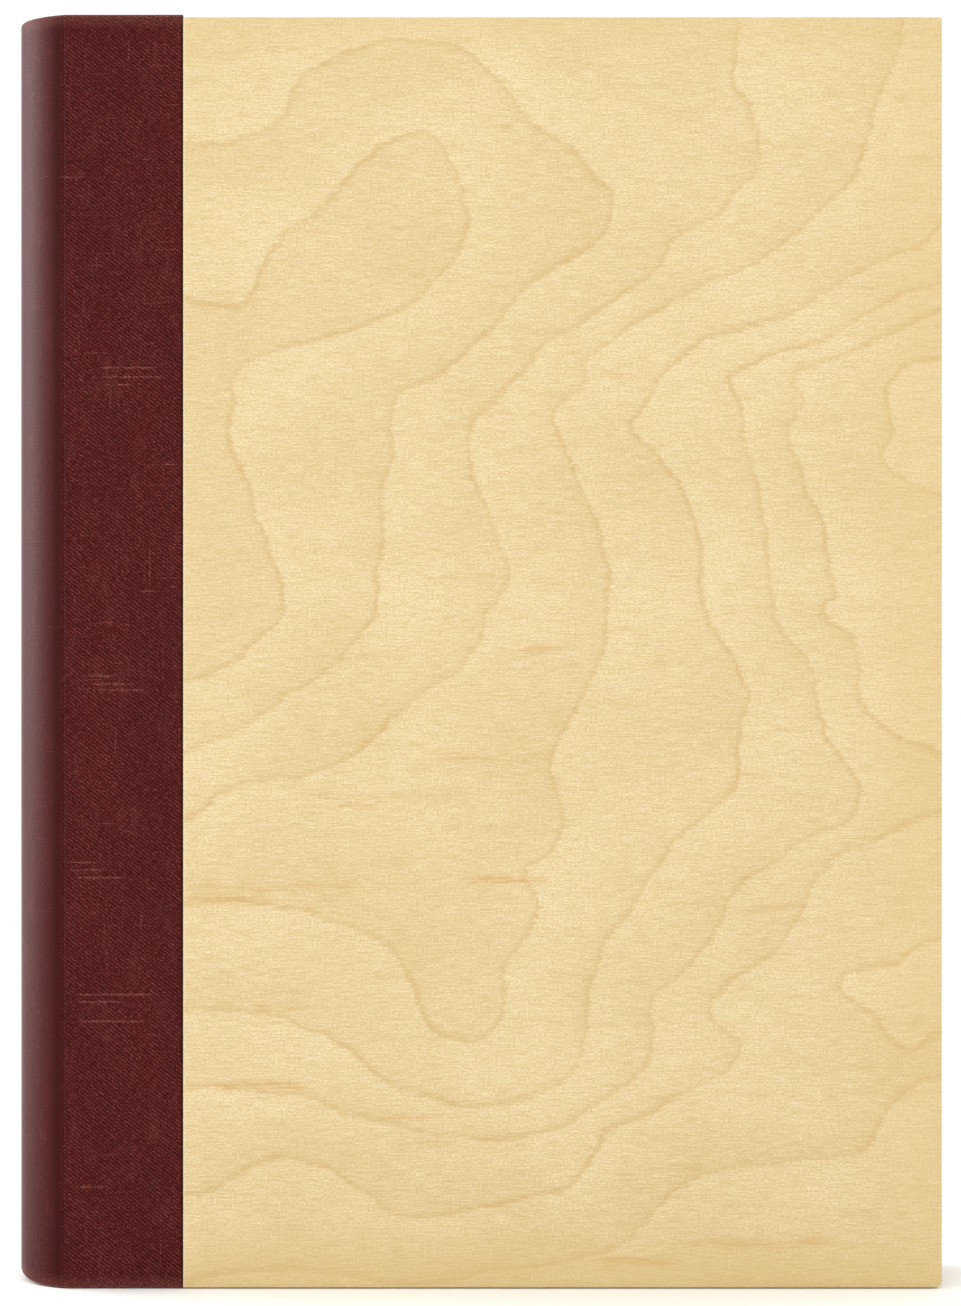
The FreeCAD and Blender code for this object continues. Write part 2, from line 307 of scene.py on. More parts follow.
class Finish(Nodes):
    """A material made of nodes."""

    def __init__(self, name):
        self.material = bpy.data.materials.new(name)
        self.material.use_nodes = True
        super().__init__(self.material.node_tree)
        self.shader = self.tree.nodes["Principled BSDF"]

    def place(self, source="Object", scale=(1 / MM, 1 / MM, 1 / MM)):
        """Places on the piece in millimetres."""
        coordinates = self.tree.nodes.new("ShaderNodeTexCoord")
        return self.stretch(Value(self, coordinates.outputs[source]), scale)

    def stretch(self, vector, scale, shift=(0, 0, 0)):
        """Coordinates scaled by a factor for each axis."""
        return self.node("ShaderNodeMapping", {"Vector": vector, "Scale": scale, "Location": shift})

    def noise(self, place, scale, detail=2.0, roughness=0.5, shift=(0, 0, 0)):
        """Noise from 0 to 1 over a place, finer along an axis where its scale is larger."""
        return self.node("ShaderNodeTexNoise",
                         {"Vector": self.stretch(place, scale, shift), "Scale": 1.0, "Detail": detail,
                          "Roughness": roughness})

    def coats(self, tone, *coats):
        """A colour under further ones, each given as its share and its colour."""
        for share, coat in coats:
            made = self.tree.nodes.new("ShaderNodeMix")
            made.data_type = "RGBA"
            for socket, value in zip((made.inputs[0], made.inputs[6], made.inputs[7]), (share, tone, coat)):
                self.join(socket, value)
            tone = Value(self, made.outputs[2])
        return tone

    def span(self, value, low, high, to_low=0.0, to_high=1.0):
        """A value carried smoothly from one range to another."""
        return self.node("ShaderNodeMapRange",
                         {"Value": value, "From Min": low, "From Max": high, "To Min": to_low,
                          "To Max": to_high}, interpolation_type="SMOOTHSTEP")

    def near(self, value, width):
        """1 where a value is 0, falling to 0 as a bell of this half width."""
        ratio = value / width
        return self.math("EXPONENT", ratio * ratio * -1.0)

    def attribute(self, name):
        """A number that the mesh carries at each vertex."""
        return self.node("ShaderNodeAttribute", {}, "Fac", attribute_name=name)

    def bump(self, height, distance, strength):
        """Relief of this depth."""
        return self.node("ShaderNodeBump",
                         {"Height": height, "Distance": distance, "Strength": strength})

    def finish(self, **sockets):
        """Joins the shader's sockets, named with underscores, and gives the material."""
        for name, value in sockets.items():
            self.join(self.shader.inputs[name.replace("_", " ")], value)
        return self.material


def birch_veneer(look):
    """Rotary-cut birch: ring lines with a dark side and a pale side, fine fibres across the board."""
    f = Finish("birch_veneer")
    place = f.place()
    across, _, up = f.parts(place)
    level = f.attribute("ring")
    slope = f.most(f.attribute("ring_slope"), 0.01)

    # The rings waver, and the fibres feather them sideways
    waver = f.noise(place, (0.09, 0.09, 0.16), 3.0, 0.55)
    feather = f.noise(place, (0.16, 1.0, 3.6), 3.0, 0.7)
    shift = (waver - 0.5) * 3.6 + (feather - 0.5) * 3.2
    share = f.math("FRACT", level + shift * slope)
    line = f.most(f.near((1.0 - share) / slope, 0.65), f.near(share / slope, 0.28))
    shade = share ** 1.6
    glow = (1.0 - share) ** 3.0

    # Rings are bold in places and nearly vanish in others
    bold = f.span(f.noise(place, (0.045, 1.0, 0.06)), 0.36, 0.62, 0.50, 1.0)

    # Fibres: long streaks, short flecks, fine grain and a cloudy drift of tone
    streak = f.noise(place, (0.10, 1.0, 3.8), 4.0, 0.75)
    fleck = f.noise(place, (0.34, 1.0, 6.0), 2.0, 0.7)
    grain = f.noise(place, (2.3, 1.0, 4.2), 2.0, 0.7)
    cloud = f.noise(place, (0.03, 1.0, 0.05), 3.0, 0.5, shift=(3.1, 0, 7.7))
    drift = f.noise(place, (0.04, 1.0, 0.40), 3.0, 0.6, shift=(9.4, 0, 1.3))
    marks = 0.0
    for left, right, height, strength in STREAKS:
        ends = f.span(across, left - 2.0, left + 4.0) * f.span(across, right + 2.0, right - 4.0)
        rise = waver * 3.0 + up - (height + 1.5)
        marks = f.most(marks, f.near(rise, 0.75) * ends * strength)
    marks = marks * f.span(streak, 0.58, 0.44, 0.25, 1.0)

    # The veneer is painted darker and yellower towards head, tail and fore edge as shade, and a painted
    # highlight runs in a pale line along it by the cloth
    head, tail = f.span(up, 206.0, 217.0, 0.0, 0.6), f.span(up, 15.0, 0.0)
    toned = f.most(f.most(tail, head), f.span(across, 60.0, 79.0, 0.0, 0.75))
    painted_edge_highlight = f.near(across - (CLOTH_HIGH[0] / MM + 0.1), 0.2)

    tone = f.coats(
        look.birch,
        (f.span(cloud, 0.35, 0.7), look.birch_light),
        (glow * 0.45, look.birch_light),
        (shade * 0.17, look.birch_ring),
        (f.span(level, 1.05, 0.55, 0.0, 0.10), look.birch_ring),
        (f.span(drift, 0.50, 0.76, 0.0, 0.22), look.birch_ring),
        (f.span(streak, 0.60, 0.34, 0.0, 0.34), look.birch_ring),
        (f.span(fleck, 0.56, 0.36, 0.0, 0.36), look.birch_ring),
        (f.span(fleck, 0.50, 0.68, 0.0, 0.62), look.birch_light),
        (f.span(grain, 0.62, 0.36, 0.0, 0.52), look.birch_ring),
        (line * bold * 0.38, look.birch_line),
        (marks * 0.64, look.birch_streak),
        # painted shade towards head, tail and fore edge
        (toned * 0.45, look.birch_edge),
        # painted highlight beside the cloth
        (painted_edge_highlight * 0.5, colour("F3EACF")))
    relief = streak * 0.6 + fleck * 0.6
    return f.finish(
        Base_Color=tone, Roughness=f.span(streak, 0.3, 0.7, 0.60, 0.50), Coat_Weight=0.06,
        Coat_Roughness=0.35, Specular_IOR_Level=0.35, Normal=f.bump(relief, 0.03 * MM, 0.55))


def birch_core(look):
    """The middle ply, whose edges show end grain in short upright and lengthwise bands."""
    f = Finish("birch_core")
    place = f.place()
    pores = f.noise(place, (2.2, 5.0, 2.2), 4.0, 0.7)
    bands = f.noise(place, (0.2, 2.4, 0.2))
    tone = f.coats(look.core, (f.span(bands, 0.35, 0.65), look.birch_edge),
                   (f.span(pores, 0.5, 0.75, 0.0, 0.5), colour("8A6436")))
    return f.finish(Base_Color=tone, Roughness=f.span(pores, 0.3, 0.7, 0.6, 0.8),
                    Specular_IOR_Level=0.3, Normal=f.bump(pores, 0.05 * MM, 0.6))


def book_cloth(look, sizes):
    """Starched cloth: fine diagonal ribs that change direction in patches, slubs and rubbed threads."""
    f = Finish("book_cloth")
    place = f.place("UV", (1 / MM, 1 / MM, 1))
    along, up, _ = f.parts(place)
    wobble = (f.noise(place, (1.6, 1.6, 1), 3.0, 0.7) - 0.5) * 0.85

    def ribs(degrees):
        """Ribs that run down and across at this angle."""
        angle = math.radians(degrees)
        turned = along * math.sin(angle) + up * math.cos(angle)
        wave = f.math("SINE", (turned + wobble) * (math.tau * MM / sizes.weave_pitch))
        return wave * 0.5 + 0.5

    patch = f.span(f.noise(place, (0.16, 0.09, 1)), 0.50, 0.70, 0.0, 0.6)
    rib = ribs(38) * (1.0 - patch) + ribs(-40) * patch
    warp = f.noise(place, (4.2, 0.9, 1), 2.0, 0.7)
    weft = f.noise(place, (0.9, 4.2, 1), 2.0, 0.7)
    threads = (warp + weft) * 0.5
    grain = f.noise(place, (3.4, 3.4, 1), 3.0, 0.7)
    smooth = f.attribute("smooth")
    weave = rib * 0.30 + threads * 1.2 + grain * 0.5
    weave = weave * (1.0 - smooth * 0.4) + smooth * 0.34

    # Slubs across the cloth and a few up it, some placed and the rest scattered
    marks = f.span(f.noise(place, (0.10, 2.6, 1), 1.0, shift=(2.0, 4.0, 0)), 0.70, 0.80)
    for left, right, height in SLUBS:
        ends = f.span(along, left, left + 2.0) * f.span(along, right, right - 4.0)
        marks = f.most(marks, f.near(up - (wobble * 0.5 + height), 0.13) * ends)
    upright = f.span(f.noise(place, (2.2, 0.07, 1), 1.0, shift=(8.0, 1.0, 0)), 0.70, 0.80, 0.0, 0.7)
    marks = f.most(marks, upright) * f.span(threads, 0.40, 0.56) * (1.0 - smooth * 0.8)

    # The cloth is clouded and rubbed, and the folded edges are worn pale. Shade is painted in dark red
    # along the fold at the joint and in a thin line at the cloth's edge on the board.
    cloud = f.noise(place, (0.10, 0.035, 1), 3.0, 0.55)
    rubbed = f.span(f.noise(place, (0.35, 0.12, 1), 4.0, 0.7), 0.5, 0.8, 0.0, 0.5)
    worn = f.attribute("wear") * f.span(grain, 0.35, 0.62)
    # The weave is painted into the colour: painted sheen on the threads' crowns and painted shade between
    # them. The cloud and the rubbed patches are the cloth's own tone.
    tone = f.coats(
        look.cloth_dark,
        (f.span(weave, 0.72, 1.06), look.cloth),
        (f.span(weave, 1.00, 1.36, 0.0, 0.72), look.cloth_light),
        (f.span(cloud, 0.35, 0.7, 0.22, 0.0), look.cloth_dark),
        (rubbed * 0.35, look.cloth_light),
        (marks * 0.42, colour("A8665C")),
        # painted shade along the joint's fold and at the cloth's edge on the board
        (f.attribute("crease") * 0.96, colour("340000")),
        (worn * 0.6, colour("9A6258")))
    gloss = smooth * -0.12 + f.span(weave, 0.5, 1.4, 0.64, 0.52)
    return f.finish(
        Base_Color=tone, Roughness=gloss, Specular_IOR_Level=0.08,
        Sheen_Weight=0.35, Sheen_Roughness=0.18, Sheen_Tint=(0.95, 0.80, 0.80),
        Normal=f.bump(weave + marks * 0.8, 0.07 * MM, 0.8))


def paper(name, body, edge, laid):
    """Uncoated paper: faint fibres, toned where the mesh says it meets the air."""
    f = Finish(name)
    place = f.place()
    fibre = f.noise(place, (1.6, 8.0, 0.9), 4.0, 0.7)
    cloud = f.noise(place, (0.05, 0.3, 0.04), 3.0)
    line_gap = 1.2
    lines = f.math("SINE", f.parts(place)[0] * (math.tau / line_gap))
    tone = f.coats(
        body,
        (f.span(cloud, 0.3, 0.7, 0.0, 0.12), edge),
        (f.span(fibre, 0.55, 0.8, 0.0, 0.25), edge),
        ((lines * 0.5 + 0.5) * laid, edge),
        (f.attribute("edge") * 0.55, edge),
        (f.attribute("leaf") * 0.22, colour("B8A27C")))
    return f.finish(Base_Color=tone, Roughness=f.span(fibre, 0.3, 0.7, 0.78, 0.9),
                    Specular_IOR_Level=0.25, Normal=f.bump(fibre, 0.02 * MM, 0.5))


def silk(name, body):
    """Twisted silk: a soft gloss over fine plies."""
    f = Finish(name)
    plies = f.noise(f.place(), (6.0, 6.0, 14.0), 3.0, 0.7)
    tone = f.coats(body, (f.span(plies, 0.4, 0.75, 0.0, 0.6), tuple(0.45 * c for c in body)))
    return f.finish(Base_Color=tone, Roughness=f.span(plies, 0.3, 0.7, 0.35, 0.55), Sheen_Weight=0.4,
                    Normal=f.bump(plies, 0.04 * MM, 0.7))


def woven(name, body, dark, pitch):
    """Plain woven tape or lining, in object coordinates."""
    f = Finish(name)
    place = f.place()
    _, across, up = f.parts(place)
    warp = f.math("SINE", across * (math.tau / pitch))
    weft = f.math("SINE", up * (math.tau / pitch))
    fuzz = f.noise(place, (3.0, 3.0, 3.0), 3.0, 0.7)
    weave = fuzz * 0.5 + (warp * weft * 0.5 + 0.5)
    return f.finish(Base_Color=f.coats(dark, (f.span(weave, 0.2, 1.2), body)),
                    Roughness=f.span(fuzz, 0.3, 0.7, 0.75, 0.9), Normal=f.bump(weave, 0.05 * MM, 0.7))


def card():
    """Grey-brown board with pressed fibres."""
    f = Finish("card")
    fibre = f.noise(f.place(), (1.5, 1.5, 0.7), 5.0, 0.7)
    tone = f.coats(colour("8C7C66"), (f.span(fibre, 0.35, 0.7), colour("B3A387")))
    return f.finish(Base_Color=tone, Roughness=f.span(fibre, 0.3, 0.7, 0.8, 0.92),
                    Normal=f.bump(fibre, 0.05 * MM, 0.5))


# Meshes

def wear_only(mesh, material):
    """Gives a mesh this material in place of any other."""
    mesh.materials.clear()
    mesh.materials.append(material)


def place_mesh(name, mesh, material):
    """An object at the origin that holds this mesh."""
    piece = bpy.data.objects.new(name, mesh)
    bpy.context.scene.collection.objects.link(piece)
    wear_only(mesh, material)
    return piece


def from_bmesh(name, bm, material):
    """A finished object made from a closed bmesh, smooth but for its sharp edges."""
    bmesh.ops.recalc_face_normals(bm, faces=bm.faces[:])
    mesh = bpy.data.meshes.new(name)
    bm.to_mesh(mesh)
    bm.free()
    mesh.shade_smooth()
    mesh.set_sharp_from_angle(angle=SHARP_ANGLE)
    return place_mesh(name, mesh, material)


def set_values(mesh, name, values):
    """Writes one number for each vertex as an attribute."""
    layer = mesh.attributes.new(name, "FLOAT", "POINT")
    layer.data.foreach_set("value", np.asarray(values, np.float32))


def vertex_places(mesh):
    """Every vertex's place as rows of x, y and z."""
    flat = np.empty(len(mesh.vertices) * 3)
    mesh.vertices.foreach_get("co", flat)
    return flat.reshape(-1, 3)


def smoothstep(value, low, high):
    """0 below low, 1 above high, and smooth between. Low may be the larger."""
    share = np.clip((value - low) / (high - low), 0, 1)
    return share * share * (3 - 2 * share)


def sheet_mesh(name, columns, material):
    """A thin sheet through columns of points. Its vertices are in the order of the points."""
    rows = len(columns[0])
    faces = [(i * rows + j, (i + 1) * rows + j, (i + 1) * rows + j + 1, i * rows + j + 1)
             for i in range(len(columns) - 1) for j in range(rows - 1)]
    mesh = bpy.data.meshes.new(name)
    mesh.from_pydata([point for column in columns for point in column], [], faces)
    return place_mesh(name, mesh, material)


def apply_modifiers(piece):
    """Turns a piece's modifiers into plain mesh."""
    graph = bpy.context.evaluated_depsgraph_get()
    mesh = bpy.data.meshes.new_from_object(piece.evaluated_get(graph))
    piece.modifiers.clear()
    piece.data = mesh


def thicken(piece, thickness, offset, even=False):
    """Closes a sheet with its thickness: offset -1 keeps its face outside, and 0 is about its middle."""
    wall = piece.modifiers.new("Thickness", "SOLIDIFY")
    wall.thickness = thickness
    wall.offset = offset
    wall.use_even_offset = even
    apply_modifiers(piece)


def paper_sheet(name, line, low_z, high_z, thickness, material):
    """An upright sheet of paper along a line of x and y, closed with its thickness."""
    steps = 8
    heights = [low_z + (high_z - low_z) * k / steps for k in range(steps + 1)]
    piece = sheet_mesh(name, [[(x, y, z) for z in heights] for x, y in line], material)
    piece.data.shade_smooth()
    fore = len(line) - 1
    set_values(piece.data, "edge", [float(index == fore or row in (0, steps))
                                    for index in range(len(line)) for row in range(steps + 1)])
    thicken(piece, thickness, 0)
    piece.data.set_sharp_from_angle(angle=SHARP_ANGLE)
    return piece


def board_outline(low, high):
    """The outline of a ply in x and z, with its fore corners rounded."""
    tail, head = FORE_CORNERS
    points = [(low[0], low[2])]
    for radius, centre_z, first in ((tail, low[2] + tail, -90), (head, high[2] - head, 0)):
        for step in range(5):
            angle = math.radians(first + 22.5 * step)
            points.append((high[0] - radius + radius * math.cos(angle),
                           centre_z + radius * math.sin(angle)))
    points.append((low[0], high[2]))
    return points


def ply_piece(name, node, cell, edge_round, material):
    """A ply of a cover with rounded edges, cut into a grid fine enough to carry the rings."""
    low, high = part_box(node)
    low = (max(low[0], PLY_START), low[1], low[2])
    bm = bmesh.new()
    base = bm.faces.new([bm.verts.new((x, low[1], z)) for x, z in board_outline(low, high)])
    wall = bmesh.ops.extrude_face_region(bm, geom=[base])
    lifted = [v for v in wall["geom"] if isinstance(v, bmesh.types.BMVert)]
    bmesh.ops.translate(bm, verts=lifted, vec=(0, high[1] - low[1], 0))
    rims = [e for e in bm.edges if abs(e.verts[0].co.y - e.verts[1].co.y) < 1e-7]
    bmesh.ops.bevel(bm, geom=rims, offset=edge_round, segments=2, profile=0.5, affect="EDGES")
    for axis, normal in ((0, (1, 0, 0)), (2, (0, 0, 1))):
        cuts = int((high[axis] - low[axis]) / cell)
        for step in range(1, cuts):
            point = [0.0, 0.0, 0.0]
            point[axis] = low[axis] + (high[axis] - low[axis]) * step / cuts
            everything = bm.verts[:] + bm.edges[:] + bm.faces[:]
            bmesh.ops.bisect_plane(bm, geom=everything, plane_co=point, plane_no=normal, dist=1e-6)
    return from_bmesh(name, bm, material)


class RingField:
    """A smooth height through every ring's points, by thin-plate interpolation, with its slope."""

    def __init__(self, rings):
        self.centres = np.array([place for _, path in rings for place in path], float)
        levels = np.array([level for level, path in rings for _ in path], float)
        count = len(levels)
        bend = self.bend(self.centres)
        flat = np.hstack([np.ones((count, 1)), self.centres])
        system = np.zeros((count + 3, count + 3))
        system[:count, :count] = bend + 0.5 * np.eye(count)
        system[:count, count:] = flat
        system[count:, :count] = flat.T
        self.weights = np.linalg.solve(system, np.append(levels, [0, 0, 0]))

    def bend(self, places):
        square = ((places[:, None] - self.centres[None]) ** 2).sum(2)
        return square * np.log(square + 1e-9)

    def at(self, places):
        """The height and the slope at rows of x and z, in millimetres."""
        height, tilt = np.empty(len(places)), np.empty((len(places), 2))
        for start in range(0, len(places), 4096):
            part = places[start:start + 4096]
            offset = part[:, None] - self.centres[None]
            square = (offset ** 2).sum(2)
            pull = (np.log(square + 1e-9) + 1) * self.weights[:-3]
            height[start:start + 4096] = (square * np.log(square + 1e-9)) @ self.weights[:-3]
            tilt[start:start + 4096] = 2 * (pull[..., None] * offset).sum(1)
        height += self.weights[-3] + places @ self.weights[-2:]
        return height, np.hypot(*(tilt + self.weights[-2:]).T)


def carve_rings(piece, field, turned):
    """Gives a veneer the ring figure. A turned one has the same sheet upside down, as its neighbour."""
    places = vertex_places(piece.data)[:, (0, 2)] / MM
    if turned:
        centre = (FACE_LOW[0] + FACE_HIGH[0]) / 2 / MM, (FACE_LOW[2] + FACE_HIGH[2]) / 2 / MM
        places = 2 * np.array(centre) - places
    height, slope = field.at(places)
    set_values(piece.data, "ring", height)
    set_values(piece.data, "ring_slope", slope)


# Cloth

class ClothRound:
    """The cloth's outer line across the book: the spine's arc, a rounded joint, then flat to its edge."""

    def __init__(self, joint_round):
        self.round = joint_round
        rise = math.sqrt((SPINE_R - joint_round) ** 2 - (CLOTH_Y - joint_round) ** 2)
        self.turn_x = AXIS_X - rise
        self.arc_angle = math.atan2(CLOTH_Y - joint_round, rise)
        self.arc = SPINE_R * self.arc_angle
        self.joint = joint_round * (math.pi / 2 - self.arc_angle)
        self.length = self.arc + self.joint + CLOTH_HIGH[0] - self.turn_x

    def at(self, s, side):
        """Place and outward direction at a length s from the middle of the spine, as x and y."""
        if s < self.arc:
            angle = s / SPINE_R
            out = -math.cos(angle), math.sin(angle)
            x, y = AXIS_X + SPINE_R * out[0], SPINE_R * out[1]
        elif s < self.arc + self.joint:
            angle = self.arc_angle + (s - self.arc) / self.round
            out = -math.cos(angle), math.sin(angle)
            x, y = self.turn_x + self.round * out[0], CLOTH_Y - self.round + self.round * out[1]
        else:
            out = 0.0, 1.0
            x, y = self.turn_x + s - self.arc - self.joint, CLOTH_Y
        return (x, side * y), (out[0], side * out[1])

    def reach(self, x):
        """The length from the middle of the spine to where the cloth passes x, right of the arc."""
        if x >= self.turn_x:
            return self.arc + self.joint + x - self.turn_x
        angle = math.acos((self.turn_x - x) / self.round)
        return self.arc + self.round * (angle - self.arc_angle)


def wrap_path(depth, top, fold, flap, bottom):
    """The cloth's line over head and tail, as (inward, up, wear) from the tail's flap to the head's."""
    turn = [math.radians(90 * k / 3) for k in range(4)]
    path = []
    for end, sign in ((bottom, -1), (top, 1)):
        inner, outer = [], []
        for angle in turn:
            lift = sign * fold * math.sin(angle)
            reach = fold * (1 - math.cos(angle))
            outer.append((reach, end - sign * fold + lift, math.sin(2 * angle) * 0.6 + 0.4))
            inner.append((depth - reach, end - sign * fold + lift, 0.3))
        inner_run = [(depth, end - sign * flap * k / 5, 0.0) for k in range(5, 0, -1)]
        half = inner_run + inner[:-1] + [(depth / 2, end, 0.5)] + outer[::-1]
        path.append(half)
    steps = 108
    low, high = path[0][-1], path[1][-1]
    middle = [(0.0, low[1] + (high[1] - low[1]) * k / steps, 0.0) for k in range(1, steps)]
    return path[0] + middle + path[1][::-1]


def tail_lift(y, sizes):
    """How far the spine's tail is worn up at this distance from the middle of the spine."""
    return sizes.tail_wear * math.exp(-(y / (7 * MM)) ** 2)


def cloth_piece(name, shape, stations, side_of, sizes, material):
    """Cloth through stations, lengths along the spine's line, wrapped over head and tail."""
    joint_s = shape.reach(JOINT_X)
    columns, charts, crease, wear, smooth = [], [], [], [], []
    for s in stations:
        side, reach = side_of(s), abs(s)
        (x, y), out = shape.at(reach, side)
        on_board = float(smoothstep(reach, joint_s - 0.1 * MM, joint_s + 0.1 * MM))
        inwards = -Vector((out[0] * (1 - on_board), out[1] * (1 - on_board) + side * on_board, 0))
        inwards.normalize()
        depth = SPINE_FLAP_IN + (BOARD_FLAP_IN - SPINE_FLAP_IN) * on_board
        bottom = CLOTH_LOW[2] + tail_lift(y, sizes) * (1 - on_board)
        path = wrap_path(depth, CLOTH_HIGH[2], sizes.fold_round, sizes.turn_in, bottom)
        columns.append([Vector((x, y, z)) + inwards * inward for inward, z, _ in path])

        # The chart is in metres: across from the spine's back edge, and up from the tail
        steps = [math.dist(a[:2], b[:2]) for a, b in zip(path, path[1:])]
        travelled = [0.0, *itertools.accumulate(steps)]
        outer = next(k for k, point in enumerate(path) if point[0] == 0.0)
        across = JOINT_X - SPINE_LOW[0] - joint_s - side * reach
        charts += [(across, t - travelled[outer] + path[outer][1]) for t in travelled]

        # Where shade is painted: a band just short of the joint, and a thin line at the cloth's edge on the
        # board
        in_joint = math.exp(-((reach - joint_s + 1.5 * MM) / (1.3 * MM)) ** 2)
        at_edge = float(smoothstep(reach, shape.length - 0.45 * MM, shape.length))
        crease += [max(in_joint, at_edge)] * len(path)
        wear += [worn for _, _, worn in path]
        smooth += [1 - float(smoothstep(reach, joint_s - 3.5 * MM, joint_s - 0.5 * MM))] * len(path)

    piece = sheet_mesh(name, columns, material)
    mesh = piece.data
    mesh.shade_smooth()
    middle = len(stations) // 2
    outward = Vector((*shape.at(abs(stations[middle]), side_of(stations[middle]))[1], 0))
    rows = len(columns[0])
    if mesh.polygons[middle * (rows - 1) + rows // 2].normal.dot(outward) < 0:
        mesh.flip_normals()
    corners = np.empty(len(mesh.loops), np.int32)
    mesh.loops.foreach_get("vertex_index", corners)
    mesh.uv_layers.new(name="UVMap").data.foreach_set("uv", np.array(charts)[corners].ravel())
    for label, values in (("crease", crease), ("wear", wear), ("smooth", smooth)):
        set_values(mesh, label, values)
    thicken(piece, sizes.cloth_t, -1, even=True)
    return piece


# Geometry trees

class Tree(Nodes):
    """A geometry node tree whose inputs are numbers."""

    def __init__(self, name, whole, real):
        super().__init__(bpy.data.node_groups.new(name, "GeometryNodeTree"))
        face = self.tree.interface
        self.ids = {}
        for kind, labels in (("NodeSocketInt", whole), ("NodeSocketFloat", real)):
            for label in labels:
                socket = face.new_socket(name=label, in_out="INPUT", socket_type=kind)
                self.ids[label] = socket.identifier
        face.new_socket(name="Geometry", in_out="OUTPUT", socket_type="NodeSocketGeometry")
        outputs = self.tree.nodes.new("NodeGroupInput").outputs
        self.given = {label: Value(self, outputs[label]) for label in self.ids}

    def geometry(self, kind, inputs, **settings):
        """What a geometry node of this kind gives."""
        return self.node("GeometryNode" + kind, inputs, **settings)

    def end(self, geometry):
        self.join(self.tree.nodes.new("NodeGroupOutput").inputs["Geometry"], geometry)
        return self

    def grow(self, name, values):
        """An object at the origin with the tree's result as plain mesh."""
        piece = bpy.data.objects.new(name, bpy.data.meshes.new(name))
        bpy.context.scene.collection.objects.link(piece)
        modifier = piece.modifiers.new("Nodes", "NODES")
        modifier.node_group = self.tree
        for label, value in values.items():
            modifier[self.ids[label]] = value
        apply_modifiers(piece)
        return piece


def leaves_tree(material):
    """Leaves side by side, each one moved to follow the round of the spine, trimmed a little unevenly."""
    t = Tree("section_leaves", ("Leaves", "Seed"),
             ("First", "Pitch", "Thickness", "Width", "Height", "Round", "Axis", "Middle", "Trim"))
    g = t.given
    leaf = t.geometry("MeshCube", {"Size": t.vector(g["Width"], g["Thickness"], g["Height"]),
                                   "Vertices X": 44, "Vertices Y": 2, "Vertices Z": 7})
    x, y, z = t.parts(t.geometry("InputPosition", {}))

    # Crowd the rows of points towards the fold
    share = x / g["Width"] + 0.5
    leaf = t.geometry("SetPosition", {"Geometry": leaf,
                                      "Position": t.vector(share ** 1.7 * g["Width"], y, z)})

    # The outer part of each leaf, and its head and tail, are toned
    outer = t.math("GREATER_THAN", share, 0.997)
    tips = t.math("GREATER_THAN", t.math("ABSOLUTE", z), g["Height"] * 0.4999)
    leaf = t.geometry("StoreNamedAttribute", {"Geometry": leaf, "Name": "edge",
                                              "Value": t.most(outer, tips)}, data_type="FLOAT",
                      domain="POINT")

    spots = t.geometry("MeshLine", {"Count": g["Leaves"],
                                    "Start Location": t.vector(0.0, g["First"], g["Middle"]),
                                    "Offset": t.vector(0.0, g["Pitch"], 0.0)})
    fold_x = g["Axis"] - t.math("SQRT", g["Round"] * g["Round"] - y * y)
    uneven = t.node("FunctionNodeRandomValue", {"Min": (-1, 0, -1), "Max": (0, 0, 1), "Seed": g["Seed"]},
                    data_type="FLOAT_VECTOR")
    uneven = t.node("ShaderNodeVectorMath", {0: uneven, "Scale": g["Trim"]}, operation="SCALE")
    spots = t.geometry("SetPosition", {"Geometry": spots, "Position": t.vector(fold_x, y, z),
                                       "Offset": uneven})
    placed = t.geometry("InstanceOnPoints", {"Points": spots, "Instance": leaf})
    shade = t.node("FunctionNodeRandomValue", {2: 0.0, 3: 1.0, "Seed": g["Seed"]}, 1, data_type="FLOAT")
    placed = t.geometry("StoreNamedAttribute", {"Geometry": placed, "Name": "leaf", "Value": shade},
                        data_type="FLOAT", domain="INSTANCE")
    solid = t.geometry("RealizeInstances", {"Geometry": placed})
    return t.end(t.geometry("SetMaterial", {"Geometry": solid, "Material": material}))


